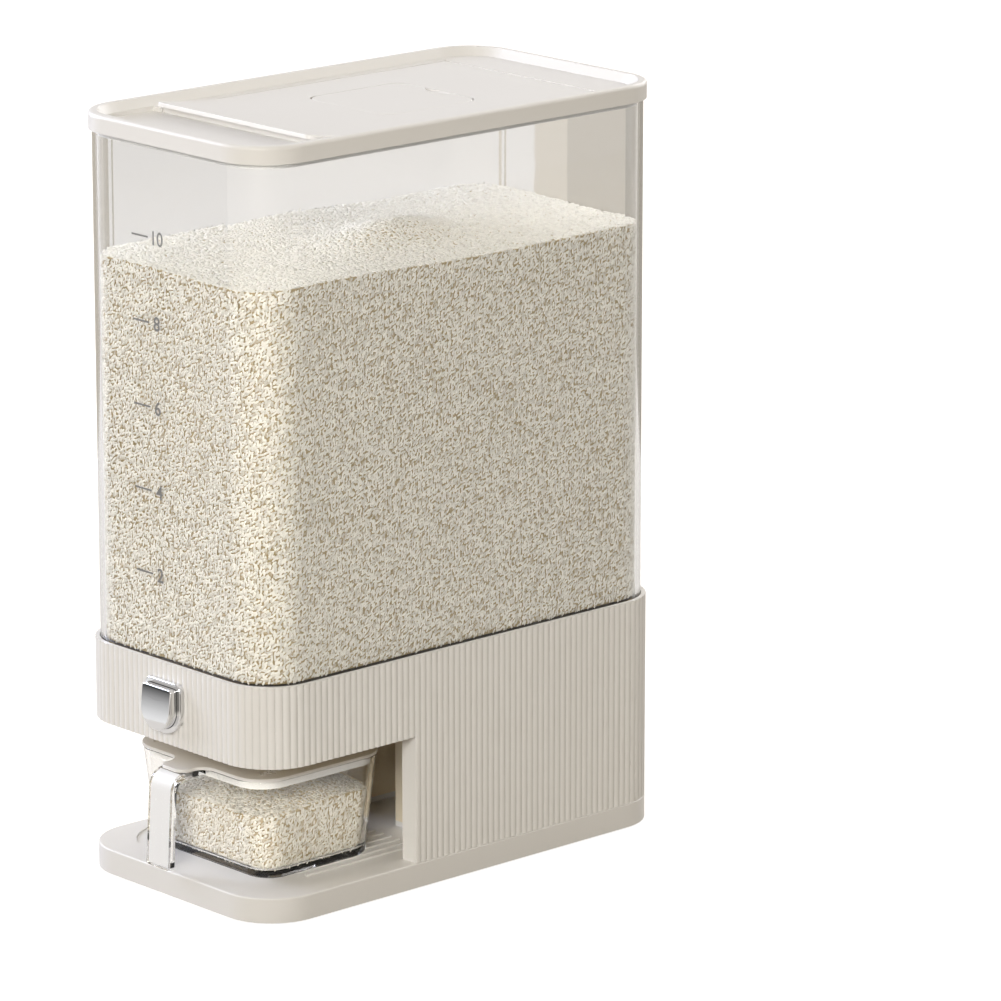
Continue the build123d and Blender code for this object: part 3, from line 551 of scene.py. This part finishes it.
finishes = {
    off_white: ("base_tray", "lid_frame", "lid_flap", "desiccant_cover", "strainer_lid"),
    reeded: ("fluted_shell",),
    lining_painted_shade: ("bay_liner",),
    hidden_white: ("base_plate", "inner_frame", "funnel", "shutter", "desiccant_basket"),
    clear_wall: ("hopper",),
    clear_cup: ("measuring_cup",),
    inlay_white: ("handle_inlay",),
    chrome: ("push_button", "button_bezel"),
    steel: ("base_screws", "button_screw", "hinge_pins", "return_spring"),
    silicone: ("funnel_seal", "lid_seal", "flap_seal"),
    rubber: ("rubber_pads",),
}
for finish, names in finishes.items():
    for node_name in names:
        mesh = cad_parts[node_name].data
        mesh.materials.clear()
        mesh.materials.append(finish)
print("finished nodes:", sum(len(names) for names in finishes.values()))

# %% [markdown]
# ## Rice grains
#
# The dispenser is shown full of rice. Filling it with whole grains would take millions, but only the
# outermost ones show. So a plain core fills the space, and one thin layer of grains lies on it, each
# grain a spindle of a few faces. The core's dark ochre is painted shade for the gaps between the grains.
# The places form rows that are shifted against each other like bricks, because a random scatter would
# leave bare patches and pile grains into each other.

# %% Grain shape
grain_length = 0.0033
grain_width = 0.00134
grain_thickness = 0.00106
grain_sides = 4
ring_places = np.array([-0.55, 0.55])
ring_radius = 0.93


def unit_grain():
    """Spindle of half-length 1: two rings of one radius, equally far from the middle, and two tips."""
    angle = np.arange(grain_sides) * 2 * math.pi / grain_sides
    t, a = np.meshgrid(ring_places, angle, indexing="ij")
    rings = np.stack([t, ring_radius * np.cos(a), ring_radius * np.sin(a)], -1).reshape(-1, 3)
    points = np.concatenate([rings, [[-1, 0, 0], [1, 0, 0]]])
    body = grid_triangles(len(ring_places), grain_sides, True)
    k = np.arange(grain_sides)
    following = (k + 1) % grain_sides
    last = (len(ring_places) - 1) * grain_sides
    first_tip = np.stack([np.full(grain_sides, len(rings)), following, k], -1)
    last_tip = np.stack([np.full(grain_sides, len(rings) + 1), last + k, last + following], -1)
    return points, np.concatenate([body, first_tip, last_tip])


print("a grain has", len(unit_grain()[1]), "triangles")

# %% [markdown]
# The rows slant, and each grain turns and leans a little away from its row. The light that wanders about
# inside real rice softens its shading. That is slow to work out for so many grains, so each grain's
# shading direction is bent towards that of the surface it lies on, which has the same look.

# %% Laying grains
row_step = 0.00305
row_gap = 0.00106
row_slant = math.radians(56)
edge_drop = 0.0013
jitter = 0.32
size_spread = 0.07
size_least, size_most = 0.8, 1.2
sink_most = 0.0004
turn_spread = 0.45
heap_spread = 0.8
lean_most = 0.22
wall_flatness = 1.3
heap_flatness = 0.7
# Tone ranges: walls and cup lower as painted shade, the hopper's heap higher as painted light.
wall_tones_painted_shade = (0.05, 0.82)
heap_tones_painted_light = (0.66, 1.0)
cup_wall_tones_painted_shade = (0.0, 0.74)
cup_heap_tones_painted_shade = (0.1, 0.78)
tone_shape = (3.4, 1.0)


def brick_places(width, height, draw):
    """Places on a strip: a step along a row and a row number, jittered, then turned by the rows' slant."""
    reach = math.hypot(width, height)
    steps = np.arange(-reach, reach, row_step)
    rows = np.arange(-reach, reach, row_gap)
    u, v = np.meshgrid(steps, rows)
    u = u + row_step * (np.arange(len(rows)) % 2 / 2)[:, None]
    u = u + row_step * draw.uniform(-jitter, jitter, u.shape)
    v = v + row_gap * draw.uniform(-jitter, jitter, v.shape)
    x = u * math.cos(row_slant) - v * math.sin(row_slant)
    y = u * math.sin(row_slant) + v * math.cos(row_slant)
    inside = (x >= 0) & (x < width) & (y >= 0) & (y < height)
    return x[inside], y[inside]


def rice_piece(name, body, surface, normal, level, spread, flatness, tones, draw):
    """Piece with one grain at each surface point, and each grain's tone as an attribute on its points.

    A grain's axis turns in the surface by the rows' slant, give or take the spread, and leans a little out
    of it. Its centre lies as deep under the surface as that lean needs, so no tip comes out.
    """
    count = len(surface)
    turn = row_slant + spread * draw.normal(size=count)
    lean = lean_most * draw.uniform(-1, 1, count)
    size = draw.normal(1, size_spread, (count, 3)).clip(size_least, size_most)
    size = size * [grain_length, grain_width, grain_thickness] / 2
    across = np.cross(normal, level)
    flat = level * np.cos(turn)[:, None] + across * np.sin(turn)[:, None]
    axis = flat * np.cos(lean)[:, None] + normal * np.sin(lean)[:, None]
    side = np.cross(normal, flat)
    out = np.cross(axis, side)
    depth = size[:, 0] * np.abs(np.sin(lean)) + size[:, 2] * np.cos(lean)
    depth = depth + draw.uniform(0, sink_most, count)
    centre = surface - normal * depth[:, None]
    points, triangles = unit_grain()
    axes = np.stack([axis, side, out], 1)
    placed = centre[:, None] + np.einsum("pk,gkc->gpc", points, axes * size[:, :, None])
    faces = (triangles[None] + (np.arange(count) * len(points))[:, None, None]).reshape(-1, 3)
    piece = mesh_piece(name, placed.reshape(-1, 3), faces)
    bent = np.einsum("pk,gkc->gpc", points, axes) + flatness * normal[:, None]
    bent /= np.linalg.norm(bent, axis=-1, keepdims=True)
    piece.data.normals_split_custom_set_from_vertices(bent.reshape(-1, 3))
    tone = tones[0] + (tones[1] - tones[0]) * draw.beta(*tone_shape, count)
    tone = np.repeat(tone, len(points)).astype(np.float32)
    piece.data.attributes.new("tone", "FLOAT", "POINT").data.foreach_set("value", tone)
    piece.data.materials.append(rice_finish)
    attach(piece, body)
    print(name, len(faces), "triangles")


print("grain rows are", row_gap * 1000, "mm apart")

# %% [markdown]
# White rice is cream, and some grains keep a little bran, which turns them ochre. Each grain carries its
# own tone as an attribute on its points, and a colour ramp turns the tone into a colour. The range of
# tones also holds painted light: grains on the walls and in the cup get lower, darker tones as painted
# shade, and those on the hopper's heap higher, paler ones as painted light from above.


# %% Rice finishes
def rice_material():
    """Cream grains, with a few ochre ones by the tone attribute."""
    material, shader = grained_material("rice_grain", (1, 1, 1), (1, 1, 1), 0.38, 0.55, grain_scale=2500.0)
    tree = material.node_tree
    tone = tree.nodes.new("ShaderNodeAttribute")
    tone.attribute_name = "tone"
    ramp = tree.nodes.new("ShaderNodeValToRGB")
    ramp.color_ramp.elements[0].position = 0.1
    ramp.color_ramp.elements[0].color = (0.40, 0.28, 0.11, 1)
    ramp.color_ramp.elements[1].position = 1.0
    ramp.color_ramp.elements[1].color = (1.0, 0.965, 0.87, 1)
    middle = ramp.color_ramp.elements.new(0.5)
    middle.color = (0.645, 0.605, 0.52, 1)
    tree.links.new(tone.outputs["Fac"], ramp.inputs["Fac"])
    tree.links.new(ramp.outputs["Color"], shader.inputs["Base Color"])
    return material


rice_finish = rice_material()
core_clouds = 700.0
# Painted shade: the core's dark ochre stands for the shaded gaps between the grains.
core_painted_shade, _ = grained_material(
    "rice_core", (0.49, 0.375, 0.18), (0.25, 0.175, 0.06), 0.6, 0.8, core_clouds)
# Painted shadow: near-black for the faces of the groove at the rice's foot.
foot_painted_shadow, _ = grained_material(
    "rice_foot_painted_shadow", (0.07, 0.05, 0.03), (0.04, 0.03, 0.02), 0.7, 0.9, core_clouds)
# Painted light: the roof under the heap is a paler copy of the core, as if lit from above.
heap_core_painted_light, _ = grained_material(
    "rice_under_heap_painted_light", (0.76, 0.64, 0.42), (0.52, 0.40, 0.20), 0.6, 0.8, core_clouds)
print("rice finishes ready")

# %% [markdown]
# ## Rice in the hopper
#
# The rice stands against the clear walls, and its top is a low heap. The walls follow the inside of the
# hopper, read from the frame, and the heap is a height over the plan: a level, one small mound and two
# slow waves. Where the rice meets the housing, the real one shows a thin dark line, so the core has a
# groove there, and the groove's faces are painted near-black as shadow.

# %% Hopper rice
hopper_low, hopper_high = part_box("hopper")
hopper_wall = 0.003
hopper_corner = 0.0298
wall_room = 0.0004
core_depth = 0.0015
foot_line = 0.0016
foot_depth = 0.006
foot_rise = 0.0007
foot_sink = 0.0016
foot_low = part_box("fluted_shell")[1].z - foot_sink

rice_width = hopper_high.x - hopper_low.x - 2 * (hopper_wall + wall_room)
rice_length = hopper_high.y - hopper_low.y - 2 * (hopper_wall + wall_room)
rice_corner = hopper_corner - hopper_wall - wall_room
floor_room = 0.001
rice_floor = hopper_low.z + floor_room
rice_level = 0.3680
mound_x, mound_y = 0.006, 0.008
mound_reach_x, mound_reach_y = 0.026, 0.036
mound_height = 0.0095
wave_a = {"height": 0.0010, "per_x": 38, "per_y": 21}
wave_b = {"height": 0.0008, "per_x": -17, "per_y": 29}


def wave(x, y, height, per_x, per_y):
    """Slow wave over the plan: height * sin(per_x * x + per_y * y)."""
    return height * np.sin(per_x * x + per_y * y)


def heap(x, y):
    """Height of the rice over the plan: a level, a small mound near the middle and two slow waves.

    The mound is mound_height * exp(-u * u - v * v), where u and v are the distances from its top along x
    and y in units of its reach.
    """
    u = (x - mound_x) / mound_reach_x
    v = (y - mound_y) / mound_reach_y
    mound = mound_height * np.exp(-u ** 2 - v ** 2)
    return rice_level + mound + (wave(x, y, **wave_a) + wave(x, y, **wave_b))


def hopper_outline(share, height, room):
    """Point and outward direction on the hopper's inner wall, drawn in by the room; alike at any height."""
    return rounded_track(share, rice_width - 2 * room, rice_length - 2 * room, rice_corner - room)


def core_piece(name, body, outline, top, low, foot, groove):
    """Filling under the grains: rings of points up the wall to the heap, then in along the heap.

    The bottom is closed. Its ochre is painted shade for the gaps between grains. At the foot of the visible
    wall runs a groove painted near-black as shadow, and the roof under the heap takes a paler copy of the
    core's colour, painted as light from above.
    """
    steps, rings = 160, 30
    share = np.arange(steps) / steps
    edge, _ = outline(share, np.full(steps, low), core_depth)
    edge_top = top(edge[:, 0], edge[:, 1]) - core_depth
    brink = foot + groove
    sides = [brink + (edge_top - brink) * up for up in np.linspace(0, 1, rings)]
    heights = np.array([np.full(steps, z) for z in (low, low, foot, foot, brink)] + sides)
    insets = np.full(len(heights), core_depth)
    insets[3:5] += foot_depth
    plan, _ = outline(np.repeat(share[None], len(heights), 0), heights, insets[:, None])
    middle = plan[-1].mean(0)
    plan[0] = middle
    wall = np.concatenate([plan, heights[..., None]], -1)
    inward = np.linspace(1, 0, rings)[1:, None, None]
    spread = (plan[-1][None] - middle) * inward + middle
    roof = np.concatenate([spread, (top(spread[..., 0], spread[..., 1]) - core_depth)[..., None]], -1)
    points = np.concatenate([wall, roof])
    piece = mesh_piece(name, points.reshape(-1, 3), grid_triangles(len(points), steps, True), smooth=False)
    for finish in (core_painted_shade, foot_painted_shadow, heap_core_painted_light):
        piece.data.materials.append(finish)
    row = np.repeat(np.arange(len(points) - 1), steps)
    finish_index = np.where(row >= len(wall) - 1, 2, np.where((row >= 2) & (row < 5), 1, 0))
    piece.data.polygons.foreach_set("material_index", np.tile(finish_index, 2).astype(np.int32))
    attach(piece, body)
    print(name, len(piece.data.polygons), "triangles")


core_piece("rice_core", "root", hopper_outline, heap, rice_floor, foot_low, foot_line)

# %% [markdown]
# The wall's grains start as places on a flat strip, as long as the wall's outline and as high as the
# rice, which is then wrapped round the outline. Only those under the heap's edge are kept. The grains are
# shared out among six pieces, one for each stretch of wall, because one mesh of all of them would be too
# heavy to work with.


# %% Hopper grains
def wall_places(outline, top, perimeter, low, high, draw):
    """Surface points, normals and level directions of the grains on a wall, up to the heap's edge."""
    along, up = brick_places(perimeter, high - low, draw)
    height = low + up
    plan, outward = outline(along / perimeter, height, 0)
    below = height < top(plan[:, 0], plan[:, 1]) - edge_drop
    plan, outward, height = plan[below], outward[below], height[below]
    flat = np.zeros(len(plan))
    return (np.column_stack([plan, height]), np.column_stack([outward, flat]),
            np.column_stack([-outward[:, 1], outward[:, 0], flat]))


def perimeter_of(width, length, corner):
    """Length of a rounded rectangle's outline: its sides, less what the corners cut off."""
    return 2 * (width + length) - (8 - 2 * math.pi) * corner


def wall_sector(points, normals):
    """Number of the wall a grain lies on: front, right front, right back, back, left back, left front."""
    front = points[:, 1] < 0
    right = normals[:, 0] > 0
    sideways = np.abs(normals[:, 0]) > np.abs(normals[:, 1])
    side = np.where(right, np.where(front, 1, 2), np.where(front, 5, 4))
    return np.where(sideways, side, np.where(normals[:, 1] < 0, 0, 3))


sector_names = (
    "rice_front", "rice_right_front", "rice_right_back", "rice_back", "rice_left_back", "rice_left_front")
hopper_seed = 7
mound_room = 0.012
draw = np.random.default_rng(hopper_seed)
points, normals, levels = wall_places(
    hopper_outline, heap, perimeter_of(rice_width, rice_length, rice_corner),
    foot_low + foot_line + foot_rise, rice_level + mound_room, draw)
sector = wall_sector(points, normals)
for index, name in enumerate(sector_names):
    chosen = sector == index
    rice_piece(name, "root", points[chosen], normals[chosen], levels[chosen], turn_spread, wall_flatness,
               wall_tones_painted_shade, draw)

# %% [markdown]
# The heap's grains lie on the plan in the same rows, are cut to the hopper's rounded outline and are
# lifted to the heap's height. Their shading follows the heap's slopes, so each grain also needs the
# upward direction there.


# %% Heap grains
def slopes(x, y, height, step=0.0005):
    """Upward direction of a height over the plan, from its slopes along x and y."""
    slope_x = (height(x + step, y) - height(x - step, y)) / (2 * step)
    slope_y = (height(x, y + step) - height(x, y - step)) / (2 * step)
    normal = np.column_stack([-slope_x, -slope_y, np.ones(len(x))])
    return normal / np.linalg.norm(normal, axis=1)[:, None]


def heap_places(top, width, length, corner, middle_y, draw):
    """Surface points, normals and level directions of the grains on a heap, inside a rounded outline."""
    x, y = brick_places(width, length, draw)
    x, y = x - width / 2, y - length / 2
    past_x = np.maximum(np.abs(x) - (width / 2 - corner), 0)
    past_y = np.maximum(np.abs(y) - (length / 2 - corner), 0)
    keep = np.hypot(past_x, past_y) < corner
    x, y = x[keep], y[keep] + middle_y
    normal = slopes(x, y, top)
    level = np.column_stack([normal[:, 2], np.zeros(len(x)), -normal[:, 0]])
    level /= np.linalg.norm(level, axis=1)[:, None]
    return np.column_stack([x, y, top(x, y)]), normal, level


edge_room = grain_length / 2
points, normals, levels = heap_places(
    heap, rice_width - 2 * edge_room, rice_length - 2 * edge_room, rice_corner - edge_room, 0, draw)
for name, chosen in (("rice_top_front", points[:, 1] < 0), ("rice_top_back", points[:, 1] >= 0)):
    rice_piece(name, "root", points[chosen], normals[chosen], levels[chosen], heap_spread, heap_flatness,
               heap_tones_painted_light, draw)

# %% [markdown]
# ## Rice in the cup
#
# The cup tapers, so its rice follows a rounded rectangle that grows with height. The sizes are those of
# the cup's inner walls, and the rice is heaped towards the back, where it falls in.

# %% Cup rice
cup_low, cup_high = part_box("measuring_cup")
cup_middle_y = -0.08895
cup_wall = 0.0024
cup_floor = 0.004
cup_floor_z = cup_low.z + cup_floor
cup_bottom_size = np.array([0.109, 0.084, 0.016])
cup_rim_size = np.array([0.117, 0.100, 0.020])
cup_level = 0.0545
cup_fillet = 0.004
cup_mound_x, cup_mound_back = 0.008, 0.010
cup_mound_reach_x, cup_mound_reach_y = 0.036, 0.026
cup_mound_height = 0.0125
cup_core_room = 0.0004
cup_foot_room = 0.0006
cup_groove = 0.0007
cup_grain_room = 0.0012
cup_mound_room = 0.003
cup_seed = 21
top_climb = 0.65


def cup_outline(share, height, room):
    """Point and outward direction on the cup's inner wall, drawn in by the room, at a share and a height.

    The size grows evenly from the cup's bottom to its rim, and a quarter circle draws it in at the floor.
    """
    climb = ((height - cup_low.z) / (cup_high.z - cup_low.z))[..., None]
    size = cup_bottom_size + (cup_rim_size - cup_bottom_size) * climb
    under = np.clip(cup_floor_z + cup_fillet - height, 0, cup_fillet)
    rounding = cup_fillet - np.sqrt(cup_fillet ** 2 - under ** 2)
    inset = cup_wall + wall_room + room + rounding
    width, length = size[..., 0] - 2 * inset, size[..., 1] - 2 * inset
    point, outward = rounded_track(share, width, length, size[..., 2] - inset)
    return point + [0, cup_middle_y], outward


def cup_heap(x, y):
    """Height of the rice in the cup: a level and one mound behind the middle, as in the hopper's heap."""
    back = y - cup_middle_y
    u = (x - cup_mound_x) / cup_mound_reach_x
    v = (back - cup_mound_back) / cup_mound_reach_y
    return cup_level + cup_mound_height * np.exp(-u ** 2 - v ** 2)


core_piece("cup_rice_core", "cup", cup_outline, cup_heap, cup_floor_z + cup_core_room,
           cup_floor_z + cup_foot_room, cup_groove)
cup_mean = (cup_bottom_size + cup_rim_size) / 2
draw = np.random.default_rng(cup_seed)
rice_piece("cup_rice_side", "cup", *wall_places(
    cup_outline, cup_heap, perimeter_of(*cup_mean), cup_floor_z + cup_grain_room,
    cup_level + cup_mound_room, draw),
    turn_spread, wall_flatness, cup_wall_tones_painted_shade, draw)
cup_plan = cup_bottom_size + (cup_rim_size - cup_bottom_size) * top_climb - 2 * (cup_wall + edge_room)
rice_piece("cup_rice_top", "cup", *heap_places(
    cup_heap, cup_plan[0], cup_plan[1], cup_mean[2] - cup_wall - edge_room, cup_middle_y, draw),
    heap_spread, heap_flatness, cup_heap_tones_painted_shade, draw)

# %% [markdown]
# ## Printed scale
#
# A scale on the clear front wall shows how much rice is left. On the real wall it is a thin film of grey
# ink. The ink could be a mask in the wall's material, but a film of its own keeps sharp edges at any
# distance. The numerals start as text, become a mesh, and are then set upright on the wall.

# %% Scale marks
mark_heights = {"10": 0.3865, "8": 0.3372, "6": 0.2881, "4": 0.2390, "2": 0.1900}
mark_left, mark_right = -0.029, -0.0145
mark_thickness = 0.0011
numeral_left = -0.0105
numeral_height = 0.0084
numeral_weight = 0.014
ink_room = 0.00006
ink_y = hopper_low.y - ink_room


def numeral_mesh(text, height):
    """Flat mesh of a numeral with its lower left corner at the origin, scaled to a height."""
    curve = bpy.data.curves.new("numeral", "FONT")
    curve.body = text
    curve.offset = numeral_weight
    holder = bpy.data.objects.new("numeral", curve)
    scene.collection.objects.link(holder)
    bpy.context.view_layer.update()
    mesh = bpy.data.meshes.new_from_object(holder.evaluated_get(bpy.context.evaluated_depsgraph_get()))
    mesh.calc_loop_triangles()
    points = np.empty(len(mesh.vertices) * 3)
    mesh.vertices.foreach_get("co", points)
    triangles = np.empty(len(mesh.loop_triangles) * 3, np.int32)
    mesh.loop_triangles.foreach_get("vertices", triangles)
    bpy.data.objects.remove(holder)
    points = points.reshape(-1, 3)
    points = points - points.min(0)
    return points * height / points[:, 1].max(), triangles.reshape(-1, 3)


def scale_film():
    """All strokes and numerals, each a flat patch in X and Z on the wall's plane."""
    points, triangles, count = [], [], 0
    for text, level in mark_heights.items():
        low, high = level - mark_thickness / 2, level + mark_thickness / 2
        stroke = np.array([[mark_left, low], [mark_right, low], [mark_right, high], [mark_left, high]])
        letters, faces = numeral_mesh(text, numeral_height)
        letters = letters[:, :2] + [numeral_left, level - numeral_height / 2]
        for patch, patch_faces in ((stroke, np.array([[0, 1, 2], [0, 2, 3]])), (letters, faces)):
            points.append(np.column_stack([patch[:, 0], np.full(len(patch), ink_y), patch[:, 1]]))
            triangles.append(patch_faces + count)
            count += len(patch)
    return np.concatenate(points), np.concatenate(triangles)


ink, _ = grained_material("scale_ink", (0.24, 0.235, 0.22), (0.20, 0.195, 0.185), 0.45, 0.6)
scale = mesh_piece("printed_scale", *scale_film(), smooth=False)
scale.data.materials.append(ink)
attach(scale, "root")
print("scale triangles:", len(scale.data.polygons))

# %% [markdown]
# ## Return spring
#
# A coil spring pushes the button out again, and it shortens when the button goes in. The imported wire is
# replaced by one built here: a circle carried along a helix of even pitch, with a cap on each end of the
# wire.

# %% Spring wire
spring_low, spring_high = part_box("return_spring")
spring_z = (spring_low.z + spring_high.z) / 2
wire_radius = 0.00045
coil_radius = (spring_high.x - spring_low.x) / 2 - wire_radius
coil_turns = 7
wire_steps, wire_sides = 240, 10


def spring_wire(steps, sides):
    """Circle carried along the helix (r cos a, y0 + p a, r sin a): a is the angle and p the even pitch."""
    along = np.linspace(0, 1, steps)
    angle = 2 * math.pi * coil_turns * along
    middle = np.stack([
        coil_radius * np.cos(angle),
        spring_low.y + wire_radius + (spring_high.y - spring_low.y - 2 * wire_radius) * along,
        spring_z + coil_radius * np.sin(angle),
    ], -1)
    radial = np.stack([np.cos(angle), np.zeros(steps), np.sin(angle)], -1)
    tangent = np.gradient(middle, axis=0)
    tangent /= np.linalg.norm(tangent, axis=1)[:, None]
    across = np.cross(tangent, radial)
    turn = 2 * math.pi * np.arange(sides) / sides
    offset = radial[:, None] * np.cos(turn)[None, :, None] + across[:, None] * np.sin(turn)[None, :, None]
    points = (middle[:, None] + wire_radius * offset).reshape(-1, 3)
    points = np.concatenate([points, middle[:1], middle[-1:]])
    k = np.arange(sides)
    last = (steps - 1) * sides
    start_cap = np.stack([np.full(sides, steps * sides), (k + 1) % sides, k], -1)
    end_cap = np.stack([np.full(sides, steps * sides + 1), last + k, last + (k + 1) % sides], -1)
    return points, np.concatenate([grid_triangles(steps, sides, True), start_cap, end_cap])


spring = mesh_piece("spring_wire", *spring_wire(wire_steps, wire_sides))
spring.data.materials.append(steel)
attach(spring, "root")
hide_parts("return_spring")
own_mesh(spring)
